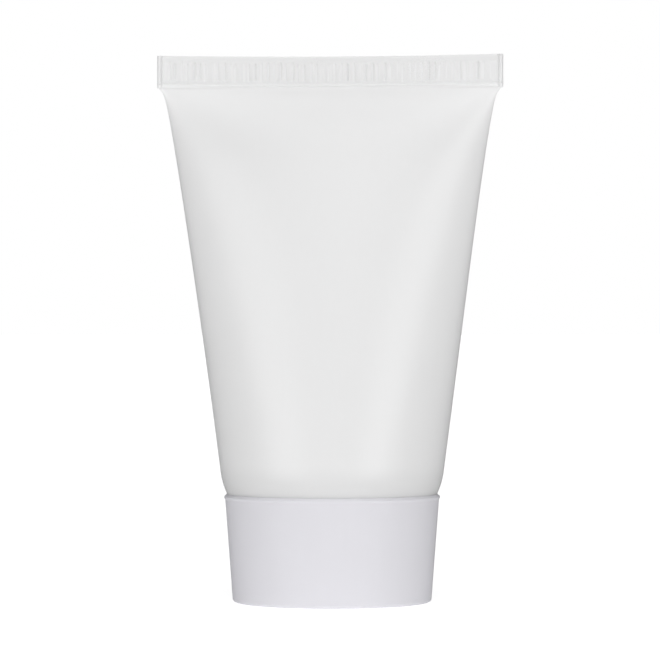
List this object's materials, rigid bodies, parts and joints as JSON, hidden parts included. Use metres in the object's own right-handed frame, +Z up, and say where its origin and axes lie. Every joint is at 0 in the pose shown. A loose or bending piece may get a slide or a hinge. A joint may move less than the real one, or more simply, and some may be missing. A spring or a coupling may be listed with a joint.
{
  "type": "shaving cream tube",
  "caption": "Squeeze tube with a flat ribbed crimp at the tail, standing on a tapered screw cap; the tube unscrews and lifts off the cap.",
  "frame": {"origin": "centre of the cap's standing face, on the tube's axis", "axes": "+Z up the tube from the cap to the crimped tail, X along the width of the crimp, Y through the depth of the tube, front towards -Y"},
  "size_m": [0.0548, 0.0348, 0.0865],
  "materials": {
    "cap_plastic": "pale cool grey polypropylene, fine satin",
    "liner_foam": "off-white expanded polyethylene, matte",
    "seal_foil": "bright rolled foil with fine creases",
    "head_plastic": "natural white polyethylene, as moulded",
    "sleeve_plastic": "white extruded polyethylene sleeve with a soft lacquer sheen",
    "cream": "dense white cream, moist sheen"
  },
  "bodies": {
    "cap": {"cap_shell": "cap_plastic"},
    "liner": {"cap_liner": "liner_foam"},
    "tube": {"foil_seal": "seal_foil", "tube_head": "head_plastic", "tube_sleeve": "sleeve_plastic", "shaving_cream": "cream"}
  },
  "joints": [
    {"name": "tube_turn", "type": "hinge", "parent": "cap", "child": "liner", "pos_m": [0, 0, 0.003], "axis": [0, 0, 1], "range_deg": [0, 1800]},
    {"name": "tube_lift", "type": "slide", "parent": "liner", "child": "tube", "axis": [0, 0, 1], "range_m": [0, 0.015]}
  ],
  "couplings": [
    {"joint": "tube_lift", "follows": "tube_turn", "m_per_rad": 0.00047746}
  ]
}
